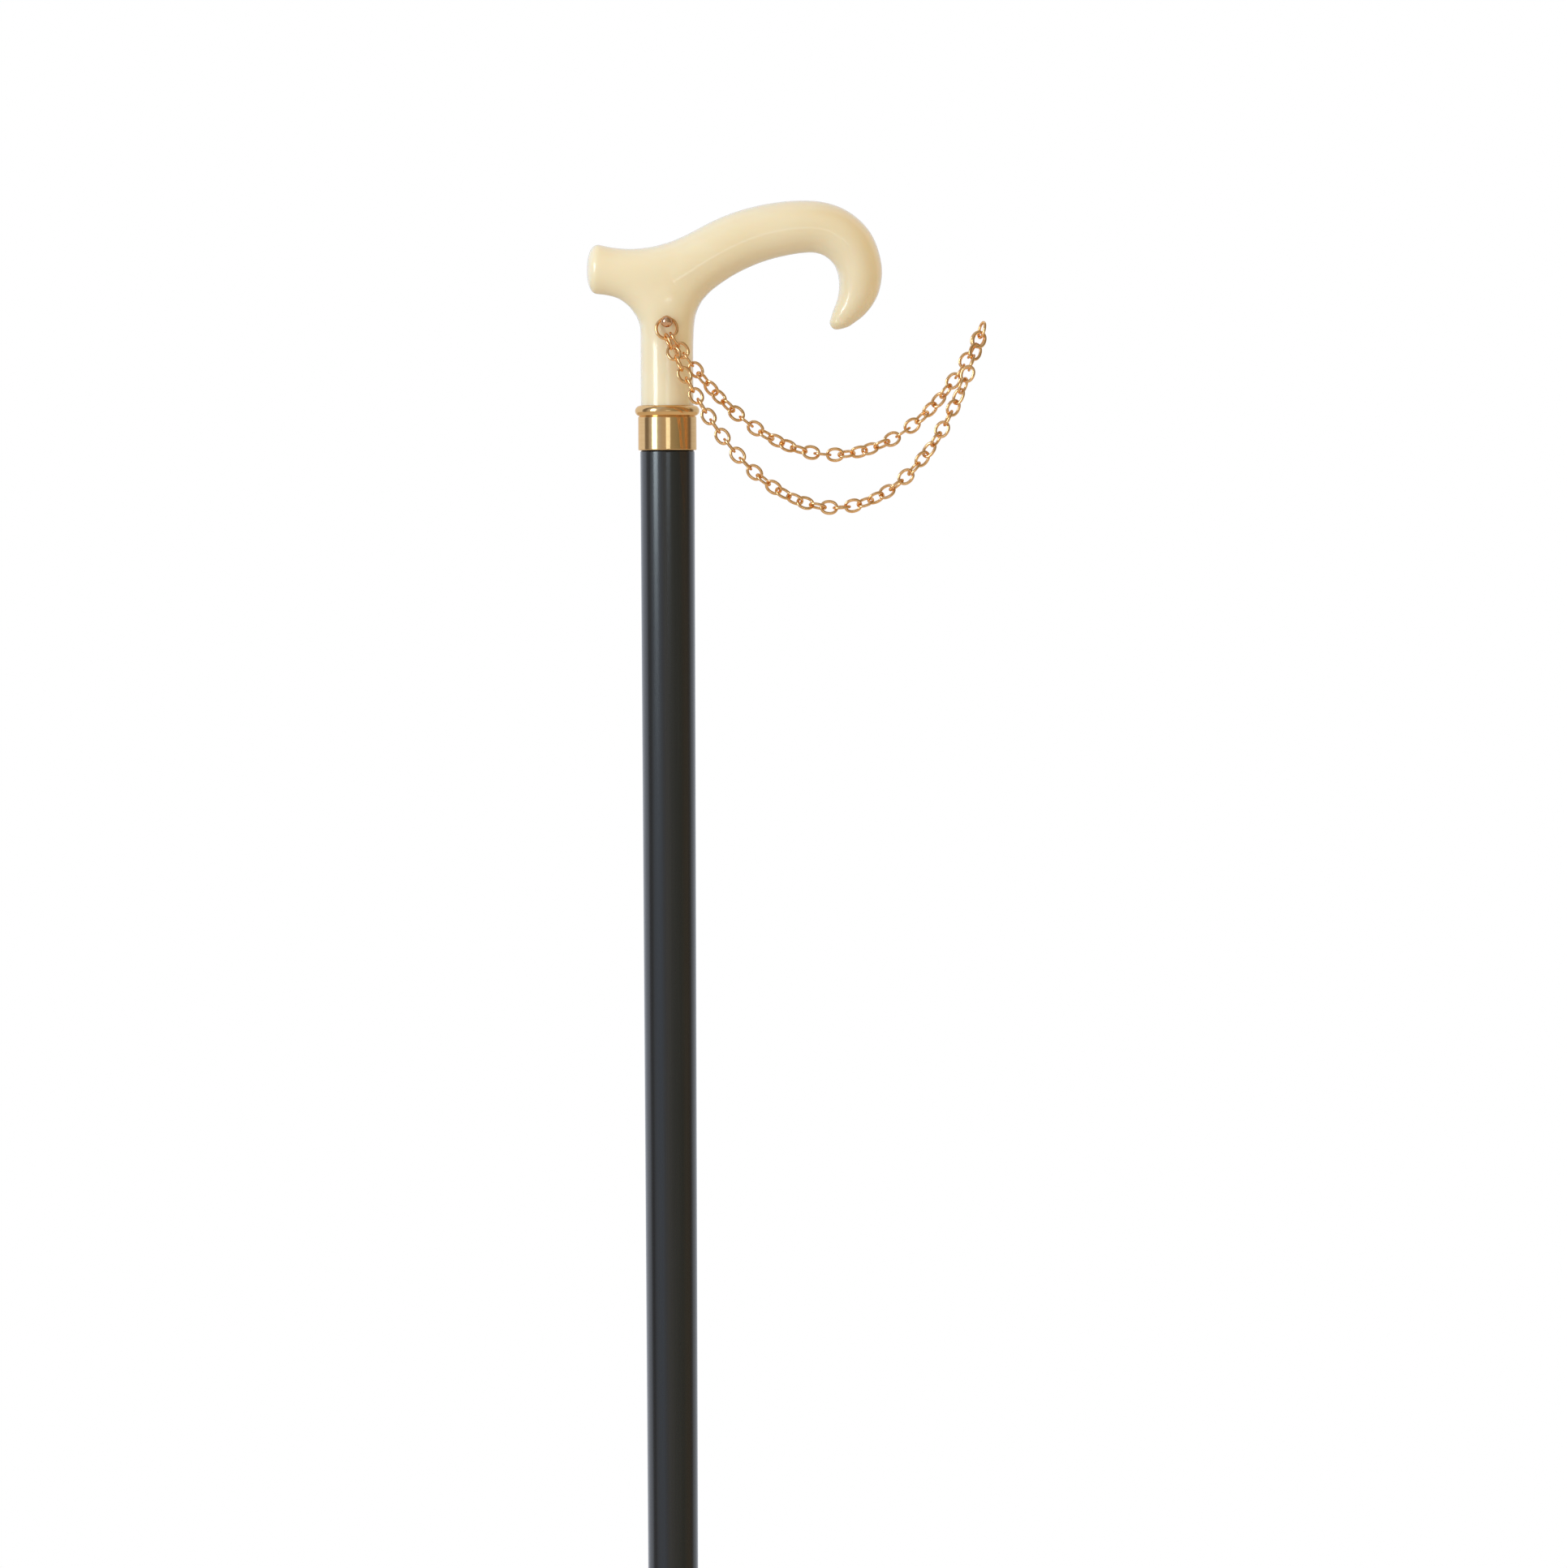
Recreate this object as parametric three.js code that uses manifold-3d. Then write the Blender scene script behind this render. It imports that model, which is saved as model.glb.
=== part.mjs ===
// Derby handle cane: a moulded handle on a tapered wooden shaft, with a chain wrist loop.
// Millimetres, +Z up the shaft, origin at the centre of the ferrule's foot, hook towards +X.
// The front of the cane, with the stud and the chain, faces -Y.
import * as THREE from "three";
import { mergeVertices } from "three/addons/utils/BufferGeometryUtils.js";
import Module from "manifold-3d";

// Clearances shared by all pieces
const seatGap = 0.3;
const fitGap = 0.15;
const boreRelief = 1.5;
const turnedSides = 20;
const edgeBreak = 0.4;

// Neck of the handle and the shaft, whose spigot is as wide as the neck. The shaft runs from the
// ferrule's foot to the shoulder under the collar
const neckRadius = 9.2;
const shoulderHeight = 833;
const shoulderStep = 0.3;
const shaftTipRadius = 7.85;

// Collar: a plain band with a half-round bead at its upper rim
const collarLength = 15.65;
const bandWall = 0.85;
const beadOverhang = 1.05;
const beadHeight = 3.8;
const beadGroove = 0.35;
const neckInsert = 7;

// Threaded stud glued into blind bores in the handle and the shaft
const joiningStudRadius = 4;
const studInHandle = 25;
const studInShaft = 40;

// Ferrule and the washer under the shaft's end
const ferruleHeight = 32;
const ferruleFloor = 9;
const ferruleFootRadius = 12;
const ferruleMouthRadius = 10;
const ferruleFootBand = 8;
const ferruleRingHeight = 1.6;
const ferruleRingDepth = 0.7;
const ferruleRingPitch = 6;
const ferruleRingCount = 2;
const treadDepth = 1;
const treadGrooveWidth = 1.6;
const treadPadRadius = 4.6;
const washerThickness = 1.5;
const washerHoleRadius = 3;

// Handle
const handleReach = 75.3;
const handleRise = 71.4;
const palmHalfWidth = 11;
const noseBulge = 3.4;
const stubBulge = 3.05;
const quarterSteps = 4;

// Ball-headed stud on the front of the neck
const ballStudHeight = 29.15;
const ballRadius = 2.03;
const stemRadius = 0.45;
const stemInNeck = 4.5;
const ballStandoff = 4;

// Jump ring that hangs on the stud
const jumpRingRadius = 3.65;
const jumpRingWire = 1.1;
const jumpRingLeanDegrees = 11.4;

// Chain link: round-ended loop of wire with flattened broad faces
const linkWire = 1.1;
const linkWidth = 5.3;
const linkPitch = 4.22;
const weldDepth = 0.15;
const linkGap = 0.3;
const laneGap = 0.35;

// Wrist loop, held out to the side: its far hook, its strands and their first hooks on the ring
const farHookReach = 109.6;
const farHookHeight = 24.15;
const strandLeanDegrees = 4.45;
const upperHookDegrees = -53;
const lowerHookDegrees = -94;
const upperLinks = 34;
const lowerLinks = 41;
const openPivotLink = 38;
const farHookSetback = 1.2;
const sideStep = 0.95;
const returnStep = 1.05;
const nearSettleLinks = 3.5;
const farSettleLinks = 9;
const upperTwistStart = 3;
const upperTwistStepDegrees = 12.86;
const upperTwistLimitDegrees = 360;
const lowerLeadDegrees = -14;
const lowerTwistStart = 12;
const lowerTwistTotalDegrees = 405;
const lowerTwistEase = 1.35;
const returnRollDegrees = [92, 30, 8];
const endLinkDegrees = 75;
const endLinkSag = 0.5;
const endLinkRollDegrees = 88;

const wasm = await Module();
wasm.setup();
const radians = THREE.MathUtils.degToRad;

const resin = { color: 0xecdcb4, roughness: 0.22, metalness: 0 };
const gold = { color: 0xdfa860, roughness: 0.18, metalness: 1 };
const brass = { color: 0xc9a25c, roughness: 0.15, metalness: 1 };
const lacquer = { color: 0x1c1d20, roughness: 0.4, metalness: 0 };
const steel = { color: 0xa7a9ac, roughness: 0.35, metalness: 1 };
const rubber = { color: 0x17171a, roughness: 0.85, metalness: 0 };

const cane = new THREE.Group();
const shoulderRadius = neckRadius + shoulderStep;
const bandRadius = neckRadius + fitGap + bandWall;
const beadRadius = bandRadius + beadOverhang;
const collarHeight = shoulderHeight + collarLength;
const headGroup = new THREE.Group();
headGroup.position.z = collarHeight;
cane.add(headGroup);

function addPiece(parent, name, geometry, finish) {
  const piece = new THREE.Mesh(geometry, new THREE.MeshStandardMaterial(finish));
  piece.name = name;
  parent.add(piece);
  return piece;
}

// Solids for joining and cutting

function welded(geometry) {
  const bare = geometry.clone();
  bare.deleteAttribute("normal");
  bare.deleteAttribute("uv");
  return mergeVertices(bare);
}

function solidOf(geometry) {
  const closed = welded(geometry);
  const vertProperties = new Float32Array(closed.attributes.position.array);
  const triVerts = new Uint32Array(closed.index.array);
  return new wasm.Manifold(new wasm.Mesh({ numProp: 3, vertProperties, triVerts }));
}

function geometryOf(solid) {
  const mesh = solid.getMesh();
  const geometry = new THREE.BufferGeometry();
  geometry.setAttribute("position", new THREE.BufferAttribute(new Float32Array(mesh.vertProperties), 3));
  geometry.setIndex(new THREE.BufferAttribute(new Uint32Array(mesh.triVerts), 1));
  geometry.computeVertexNormals();
  return geometry;
}

// Turned pieces: outline points are [radius, height], revolved about +Z

function turned(outline, sides = turnedSides) {
  const points = outline.map(([radius, height]) => new THREE.Vector2(radius, height));
  const geometry = new THREE.LatheGeometry(points, sides);
  geometry.rotateX(Math.PI / 2);
  return geometry;
}

function arcPoints(centre, radii, startDegrees, endDegrees, steps) {
  return Array.from({ length: steps + 1 }, (_, step) => {
    const angle = radians(startDegrees + ((endDegrees - startDegrees) * step) / steps);
    return [centre[0] + radii[0] * Math.cos(angle), centre[1] + radii[1] * Math.sin(angle)];
  });
}

// Joint between the neck and the shaft, inside the collar

const jointPlane = collarLength - neckInsert;
const studBoreRadius = joiningStudRadius + fitGap;

function shaftGeometry() {
  const foot = ferruleFloor + washerThickness + 2 * seatGap;
  const top = shoulderHeight + jointPlane - seatGap;
  const boreFloor = top - studInShaft - boreRelief;
  return turned([
    [0, foot],
    [shaftTipRadius - edgeBreak, foot],
    [shaftTipRadius, foot + edgeBreak],
    [shoulderRadius, shoulderHeight - seatGap - edgeBreak],
    [shoulderRadius - edgeBreak, shoulderHeight - seatGap],
    [neckRadius, shoulderHeight - seatGap],
    [neckRadius, top],
    [studBoreRadius, top],
    [studBoreRadius, boreFloor],
    [0, boreFloor],
  ]);
}

function collarGeometry() {
  const bore = neckRadius + fitGap;
  const beadHalf = beadHeight / 2;
  const beadCentre = [beadRadius - beadHalf, collarLength - beadHalf];
  const bandTop = collarLength - beadHeight;
  return turned([
    [bore, 0],
    [bandRadius - edgeBreak, 0],
    [bandRadius, edgeBreak],
    [bandRadius, bandTop - beadGroove],
    [bandRadius - beadGroove, bandTop],
    ...arcPoints(beadCentre, [beadHalf, beadHalf], -80, 90, 5),
    [bore, collarLength],
    [bore, 0],
  ]);
}

function joiningStudGeometry() {
  const low = jointPlane - studInShaft;
  const high = jointPlane + studInHandle;
  return turned([
    [0, low],
    [joiningStudRadius - edgeBreak, low],
    [joiningStudRadius, low + edgeBreak],
    [joiningStudRadius, high - edgeBreak],
    [joiningStudRadius - edgeBreak, high],
    [0, high],
  ], turnedSides / 2);
}

function ferruleGeometry() {
  const bore = shaftTipRadius + fitGap;
  const rings = Array.from({ length: ferruleRingCount }, (_, ring) => {
    const low = ferruleFootBand + ferruleRingPitch * (ring + 1);
    const high = low + ferruleRingHeight;
    const wall = (height) => THREE.MathUtils.mapLinear(
      height, ferruleFootBand, ferruleHeight, ferruleFootRadius - edgeBreak, ferruleMouthRadius);
    return [
      [wall(low), low],
      [wall(low) - ferruleRingDepth, low + ferruleRingHeight / 4],
      [wall(high) - ferruleRingDepth, high - ferruleRingHeight / 4],
      [wall(high), high],
    ];
  });
  return turned([
    [0, 0],
    [treadPadRadius, 0],
    [treadPadRadius, treadDepth],
    [treadPadRadius + treadGrooveWidth, treadDepth],
    [treadPadRadius + treadGrooveWidth, 0],
    [ferruleFootRadius - edgeBreak, 0],
    [ferruleFootRadius, edgeBreak],
    [ferruleFootRadius, ferruleFootBand - edgeBreak],
    [ferruleFootRadius - edgeBreak, ferruleFootBand],
    ...rings.flat(),
    [ferruleMouthRadius, ferruleHeight - edgeBreak],
    [ferruleMouthRadius - edgeBreak, ferruleHeight],
    [bore, ferruleHeight],
    [bore, ferruleFloor],
    [0, ferruleFloor],
  ]);
}

function washerGeometry() {
  const rim = shaftTipRadius - fitGap;
  return turned([
    [washerHoleRadius, 0],
    [rim, 0],
    [rim, washerThickness],
    [washerHoleRadius, washerThickness],
    [washerHoleRadius, 0],
  ]);
}

// Handle: sections between two silhouette curves, each an oval drawn through the upper point, the
// flank and the lower point. Stub, arm and neck meet in shared half sections round one centre.
// Each share is [upper x, upper z, lower x, lower z, half width]: x of the reach, z of the rise
// above the collar, width of the palm's half width. The neck's x and width are of its radius.

const crotchTopShares = [0.028, 0.804];
const crotchLeftShares = [-0.17, 0.48];
const crotchRightShares = [0.165, 0.512];
const crotchCentreShares = [0.01, 0.61];
const crotchWidthShare = 0.955;
const stubShares = [
  [-0.328, 0.79, -0.331, 0.546, 0.78],
  [-0.25, 0.774, -0.28, 0.541, 0.79],
  [-0.163, 0.767, -0.233, 0.528, 0.83],
  [-0.066, 0.777, -0.199, 0.507, 0.9],
];
const armShares = [
  [0.111, 0.844, 0.215, 0.567, 0.97],
  [0.21, 0.899, 0.313, 0.637, 0.99],
  [0.31, 0.942, 0.413, 0.687, 1],
  [0.414, 0.973, 0.493, 0.715, 1],
  [0.517, 0.992, 0.565, 0.732, 1],
  [0.618, 1, 0.627, 0.742, 1],
  [0.718, 0.994, 0.684, 0.744, 0.99],
  [0.817, 0.962, 0.731, 0.729, 0.97],
  [0.904, 0.897, 0.767, 0.698, 0.95],
  [0.965, 0.809, 0.788, 0.661, 0.91],
  [1, 0.68, 0.8, 0.608, 0.85],
  [0.992, 0.573, 0.799, 0.555, 0.76],
  [0.963, 0.498, 0.788, 0.503, 0.66],
  [0.915, 0.435, 0.769, 0.453, 0.54],
  [0.86, 0.392, 0.759, 0.416, 0.41],
];
const neckShares = [
  [1.174, 0.468, -1.157, 0.436, 1.08],
  [1.049, 0.406, -1.007, 0.378, 1.025],
  [1, 0.28, -1, 0.28, 1],
];
const stubPullShare = 0.75;
const armPullShare = 0.25;
const neckPullShare = 1;
const sectionSteps = 2;
const stubRoundShare = 0.9;
const noseRoundShare = 1.3;
const domeSteps = 5;
const mergeShare = 1e-4;

function section(share, across = handleReach, width = palmHalfWidth) {
  return {
    upper: new THREE.Vector3(share[0] * across, 0, share[1] * handleRise),
    lower: new THREE.Vector3(share[2] * across, 0, share[3] * handleRise),
    halfWidth: share[4] * width,
  };
}

function crotchSection(upperShares, lowerShares) {
  return section([...upperShares, ...lowerShares, crotchWidthShare]);
}

function smoothSections(stations) {
  const lift = new THREE.CatmullRomCurve3(stations.map((station) => station.upper));
  const drop = new THREE.CatmullRomCurve3(stations.map(
    (station) => station.lower.clone().setY(station.halfWidth)));
  const count = (stations.length - 1) * sectionSteps;
  return Array.from({ length: count + 1 }, (_, step) => {
    const upper = lift.getPoint(step / count);
    const lower = drop.getPoint(step / count);
    const halfWidth = lower.y;
    return { upper, lower: lower.setY(0), halfWidth };
  });
}

// Draws the section centres of a branch to the crotch's centre, and stops them there
function drawnToCrotch(sections, crotchCentre, reach) {
  const last = sections.length - 1;
  sections.forEach((each, place) => {
    const middle = each.upper.clone().lerp(each.lower, 0.5);
    const pull = THREE.MathUtils.smoothstep(place, last * (1 - reach), last);
    each.centre = middle.lerp(crotchCentre, pull);
  });
  return sections;
}

function sectionRing({ upper, lower, centre, halfWidth }) {
  const count = 4 * quarterSteps;
  return Array.from({ length: count }, (_, place) => {
    const angle = (2 * Math.PI * place) / count;
    const up = Math.max(Math.cos(angle), 0);
    const down = Math.max(-Math.cos(angle), 0);
    const point = centre.clone();
    point.addScaledVector(upper.clone().sub(centre), up);
    point.addScaledVector(lower.clone().sub(centre), down);
    point.y -= Math.sin(angle) * halfWidth;
    return point;
  });
}

// Rings that close one end of a branch in a dome: a round share of 1 is an ellipse, less is flatter
function domeRings(end, outward, bulge, roundShare) {
  const middle = end.centre;
  return Array.from({ length: domeSteps }, (_, step) => {
    const angle = (Math.PI / 2) * ((step + 1) / domeSteps);
    const spread = Math.cos(angle) ** roundShare;
    const reach = Math.sin(angle) ** roundShare;
    return sectionRing(end).map((point) => point
      .sub(middle)
      .multiplyScalar(step + 1 === domeSteps ? 0 : spread)
      .add(middle)
      .addScaledVector(outward, bulge * reach));
  });
}

// Faces between rings, one after the other, and fans over flat ends
function skinOf(rings, corners, indices) {
  const first = corners.length;
  const around = rings[0].length;
  rings.forEach((ring) => corners.push(...ring));
  for (let row = 0; row + 1 < rings.length; row += 1) {
    for (let place = 0; place < around; place += 1) {
      const next = (place + 1) % around;
      const near = first + row * around;
      const far = near + around;
      indices.push(near + place, near + next, far + place);
      indices.push(near + next, far + next, far + place);
    }
  }
  return first + (rings.length - 1) * around;
}

function handleGeometry() {
  const [centreAcross, centreUp] = crotchCentreShares;
  const crotchCentre = new THREE.Vector3(centreAcross * handleReach, 0, centreUp * handleRise);
  const stubStations = stubShares.map((share) => section(share));
  stubStations.push(crotchSection(crotchTopShares, crotchLeftShares));
  const armStations = armShares.map((share) => section(share));
  armStations.unshift(crotchSection(crotchTopShares, crotchRightShares));
  const neckSections = neckShares.map((share) => section(share, neckRadius, neckRadius));
  const neckStations = [crotchSection(crotchRightShares, crotchLeftShares), ...neckSections];

  const stub = drawnToCrotch(smoothSections(stubStations), crotchCentre, stubPullShare);
  const arm = drawnToCrotch(smoothSections(armStations).reverse(), crotchCentre, armPullShare);
  const neck = drawnToCrotch(smoothSections(neckStations).reverse(), crotchCentre, neckPullShare);
  arm.reverse();
  neck.reverse();

  const neckFoot = {
    upper: new THREE.Vector3(neckRadius, 0, -neckInsert),
    lower: new THREE.Vector3(-neckRadius, 0, -neckInsert),
    centre: new THREE.Vector3(0, 0, -neckInsert),
    halfWidth: neckRadius,
  };

  const noseEnd = arm[arm.length - 1];
  const noseOutward = noseEnd.centre.clone().sub(arm[arm.length - 1 - sectionSteps].centre).normalize();
  const stubDome = domeRings(stub[0], new THREE.Vector3(-1, 0, 0), stubBulge, stubRoundShare).reverse();
  const noseDome = domeRings(noseEnd, noseOutward, noseBulge, noseRoundShare);

  const corners = [];
  const indices = [];
  skinOf([...stubDome, ...stub.map(sectionRing)], corners, indices);
  skinOf([...arm.map(sectionRing), ...noseDome], corners, indices);
  const footStart = skinOf([...neck.map(sectionRing), sectionRing(neckFoot)], corners, indices);
  const footCentre = corners.push(neckFoot.centre) - 1;
  const around = 4 * quarterSteps;
  for (let place = 0; place < around; place += 1) {
    indices.push(footStart + place, footStart + ((place + 1) % around), footCentre);
  }

  const geometry = new THREE.BufferGeometry().setFromPoints(corners);
  geometry.setIndex(indices);
  const body = solidOf(mergeVertices(geometry, mergeShare * neckRadius));
  const stud = solidOf(turned([
    [0, -neckInsert - boreRelief],
    [studBoreRadius, -neckInsert - boreRelief],
    [studBoreRadius, studInHandle - neckInsert + boreRelief],
    [0, studInHandle - neckInsert + boreRelief],
  ], turnedSides / 2));
  const stemBore = turned([
    [0, neckRadius - stemInNeck - boreRelief / 2],
    [stemRadius + fitGap, neckRadius - stemInNeck - boreRelief / 2],
    [stemRadius + fitGap, neckRadius + boreRelief],
    [0, neckRadius + boreRelief],
  ], turnedSides / 4);
  stemBore.rotateX(Math.PI / 2).translate(0, 0, ballStudHeight);
  return geometryOf(body.subtract(stud).subtract(solidOf(stemBore)));
}

// Ball stud, turned about the axis that points out of the neck

function ballStudGeometry() {
  const ballCentre = neckRadius + ballStandoff;
  const stemAngle = THREE.MathUtils.radToDeg(Math.acos(stemRadius / ballRadius));
  const geometry = turned([
    [0, neckRadius - stemInNeck],
    [stemRadius, neckRadius - stemInNeck],
    ...arcPoints([0, ballCentre], [ballRadius, ballRadius], -stemAngle, 70, 5),
    [0, ballCentre + ballRadius],
  ], turnedSides / 2);
  return geometry.rotateX(Math.PI / 2);
}

// Jump ring: hangs from the stem by its inner edge and leans away from the neck at the bottom

const jumpRingInner = jumpRingRadius - jumpRingWire / 2;
const ringLean = radians(jumpRingLeanDegrees);
const ringDrop = jumpRingInner * Math.cos(ringLean) - stemRadius - fitGap;
const hookDepth = neckRadius + seatGap + linkWidth / 2;
const ringCentre = new THREE.Vector3(
  0, -hookDepth + jumpRingRadius * Math.sin(ringLean), ballStudHeight - ringDrop);

function jumpRingGeometry() {
  const geometry = new THREE.TorusGeometry(jumpRingRadius, jumpRingWire / 2, 6, 18);
  geometry.rotateX(Math.PI / 2);
  return geometry.rotateX(-ringLean);
}

// Wrist loop. A strand hangs as a catenary from its hook on the ring to the far hook, in a frame
// that leans a little. Links are counted from the ring, and strand(i) is the contact before link i.

const linkInner = linkPitch + (linkGap - weldDepth) / 2;
const linkLength = linkInner + 2 * linkWire;
const upperLane = -(beadRadius + laneGap + linkWidth / 2);
const lowerLane = upperLane - linkWidth - laneGap;
const strandLean = radians(strandLeanDegrees);
const tiltAxis = new THREE.Vector3(0, 1, 0);

function hookOnRing(degrees) {
  const angle = radians(degrees);
  const reach = jumpRingInner - linkGap;
  return new THREE.Vector3(
    ringCentre.x + reach * Math.cos(angle), 0, ringCentre.z + reach * Math.sin(angle) * Math.cos(ringLean));
}

function catenaryScale(span, rise, length) {
  const stretch = Math.sqrt(length * length - rise * rise) / span;
  let low = 1e-6;
  let high = 10;
  for (let step = 0; step < 60; step += 1) {
    const middle = (low + high) / 2;
    const short = Math.sinh(middle) / middle < stretch;
    low = short ? middle : low;
    high = short ? high : middle;
  }
  return span / (low + high);
}

function hangingStrand(start, end, links, depthAt) {
  const chord = end.clone().sub(start).applyAxisAngle(tiltAxis, strandLean);
  const length = links * linkPitch;
  const scale = catenaryScale(chord.x, chord.z, length);
  const lowest = chord.x / 2 - scale * Math.atanh(chord.z / length);
  const startArc = scale * Math.sinh(-lowest / scale);
  return (index) => {
    const arc = startArc + linkPitch * index;
    const point = new THREE.Vector3(
      lowest + scale * Math.asinh(arc / scale), 0, Math.hypot(scale, arc) - Math.hypot(scale, startArc));
    point.applyAxisAngle(tiltAxis, -strandLean).add(start);
    return point.setY(depthAt(index));
  };
}

function laneDepth(lane, endStep) {
  return (index) => lane + (-hookDepth - lane) * Math.exp(-index / nearSettleLinks)
    + endStep * Math.exp((index - upperLinks) / farSettleLinks);
}

const farHook = new THREE.Vector3(farHookReach, upperLane + farHookSetback, farHookHeight);
const upperStrand = hangingStrand(
  hookOnRing(upperHookDegrees), farHook, upperLinks,
  laneDepth(upperLane, farHookSetback + sideStep));
const lowerStrand = hangingStrand(
  hookOnRing(lowerHookDegrees), farHook, lowerLinks, laneDepth(lowerLane, 0));
const returnStrand = hangingStrand(
  hookOnRing(lowerHookDegrees), farHook, lowerLinks,
  (index) => farHook.y - sideStep - returnStep * (lowerLinks - index));

function upperRoll(link) {
  return 90 * link + THREE.MathUtils.clamp(
    upperTwistStepDegrees * (link - upperTwistStart), 0, upperTwistLimitDegrees);
}

function lowerRoll(link) {
  const share = Math.max(link - lowerTwistStart, 0) / (lowerLinks - lowerTwistStart);
  const lead = Math.max(lowerTwistStart - link, 0) / lowerTwistStart;
  return 90 * link + lowerLeadDegrees * lead + lowerTwistTotalDegrees * share ** lowerTwistEase;
}

function returnRoll(link) {
  return returnRollDegrees[link - openPivotLink - 1];
}

// A link lies along +X with its broad faces to -Y
function linkGeometry() {
  const bend = (linkWidth - linkWire) / 2;
  const halfStraight = (linkLength - linkWidth) / 2;
  const geometry = welded(new THREE.TorusGeometry(bend, linkWire / 2, 6, 10));
  const place = geometry.attributes.position;
  for (let corner = 0; corner < place.count; corner += 1) {
    place.setX(corner, place.getX(corner) + Math.sign(place.getX(corner)) * halfStraight);
  }
  return geometry.rotateX(Math.PI / 2);
}

// Places a link between two contacts: roll turns it about its length, slip moves it along
function placedLink(before, after, rollDegrees, slip) {
  const along = after.clone().sub(before).normalize();
  const back = new THREE.Vector3(0, 1, 0);
  back.addScaledVector(along, -back.dot(along)).normalize();
  back.applyAxisAngle(along, radians(rollDegrees));
  const side = along.clone().cross(back);
  const matrix = new THREE.Matrix4().makeBasis(along, back, side);
  matrix.setPosition(before.clone().lerp(after, 0.5).addScaledVector(along, slip));
  return linkGeometry().applyMatrix4(matrix);
}

const pairSlip = (weldDepth + linkGap) / 4;

// Two neighbouring links, joined where they touch
function linkPair(strand, roll, first) {
  const near = placedLink(strand(first - 1), strand(first), roll(first), -pairSlip);
  const far = placedLink(strand(first), strand(first + 1), roll(first + 1), pairSlip);
  return geometryOf(solidOf(near).add(solidOf(far)));
}

function twoDigits(number) {
  return String(number).padStart(2, "0");
}

function addPairs(prefix, strand, roll, first, last) {
  for (let link = first; link < last; link += 2) {
    const name = `${prefix}_links_${twoDigits(link)}_${twoDigits(link + 1)}`;
    addPiece(headGroup, name, linkPair(strand, roll, link), gold);
  }
}

function endLinkGeometry() {
  const direction = radians(endLinkDegrees);
  const along = new THREE.Vector3(Math.cos(direction), 0, Math.sin(direction));
  const hook = farHook.clone().addScaledVector(along, -pairSlip - endLinkSag);
  return placedLink(hook, hook.clone().addScaledVector(along, linkPitch), endLinkRollDegrees, 0);
}

addPiece(cane, "ferrule", ferruleGeometry(), rubber);
addPiece(cane, "ferrule_washer", washerGeometry(), steel).position.z = ferruleFloor + seatGap;
addPiece(cane, "shaft", shaftGeometry(), lacquer);

const collar = addPiece(headGroup, "collar", collarGeometry(), brass);
collar.position.z = -collarLength;
addPiece(headGroup, "joining_stud", joiningStudGeometry(), steel).position.z = -collarLength;
addPiece(headGroup, "handle", handleGeometry(), resin);
addPiece(headGroup, "ball_stud", ballStudGeometry(), gold).position.z = ballStudHeight;
addPiece(headGroup, "jump_ring", jumpRingGeometry(), gold).position.copy(ringCentre);

addPairs("upper", upperStrand, upperRoll, 1, upperLinks);
addPiece(headGroup, "end_link", endLinkGeometry(), gold);
addPairs("lower", lowerStrand, lowerRoll, 1, openPivotLink);
const returnStart = openPivotLink + 1;
const returnLink = placedLink(
  returnStrand(returnStart - 1), returnStrand(returnStart), returnRoll(returnStart), 0);
addPiece(headGroup, `lower_link_${returnStart}`, returnLink, gold);
addPairs("lower", returnStrand, returnRoll, returnStart + 1, lowerLinks);

export default cane;
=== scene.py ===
# Derby handle cane with a chain wrist loop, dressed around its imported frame.
import math

import bpy
from mathutils import Matrix, Vector


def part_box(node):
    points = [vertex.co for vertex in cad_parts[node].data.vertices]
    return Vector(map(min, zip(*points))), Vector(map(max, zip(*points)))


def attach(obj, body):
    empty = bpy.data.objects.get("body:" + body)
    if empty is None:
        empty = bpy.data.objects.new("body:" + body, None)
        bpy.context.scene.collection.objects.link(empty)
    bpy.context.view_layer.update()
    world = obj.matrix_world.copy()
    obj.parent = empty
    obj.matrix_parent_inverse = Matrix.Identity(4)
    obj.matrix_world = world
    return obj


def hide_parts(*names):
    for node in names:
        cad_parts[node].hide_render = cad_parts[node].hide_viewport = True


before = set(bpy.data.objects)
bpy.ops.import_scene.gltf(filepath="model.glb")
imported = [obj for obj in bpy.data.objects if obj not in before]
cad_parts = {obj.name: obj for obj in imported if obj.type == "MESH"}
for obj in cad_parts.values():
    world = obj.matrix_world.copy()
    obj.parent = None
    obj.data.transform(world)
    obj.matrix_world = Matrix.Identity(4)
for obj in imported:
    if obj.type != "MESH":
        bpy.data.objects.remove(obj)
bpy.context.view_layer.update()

mm = 0.001
collarLow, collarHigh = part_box("collar")
headHeight = collarHigh.z / mm      # the handle and the chain are measured up from the collar's top
shaftLow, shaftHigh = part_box("shaft")
ferruleLow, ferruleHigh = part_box("ferrule")
print("frame loaded, collar top at", round(headHeight, 2), "mm")


# Shared mesh helpers, in millimetres

def addMesh(name, corners, faces, material):
    mesh = bpy.data.meshes.new(name)
    mesh.from_pydata([Vector(corner) * mm for corner in corners], [], faces)
    mesh.validate()
    mesh.shade_smooth()
    mesh.materials.append(material)
    piece = bpy.data.objects.new(name, mesh)
    bpy.context.scene.collection.objects.link(piece)
    return piece


def seatPiece(piece, body, slot, *nodes):
    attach(piece, body)
    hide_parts(*nodes)


def addSubdivision(piece, levels):
    smoother = piece.modifiers.new("subdivision", "SUBSURF")
    smoother.levels = levels
    smoother.render_levels = levels


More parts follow.
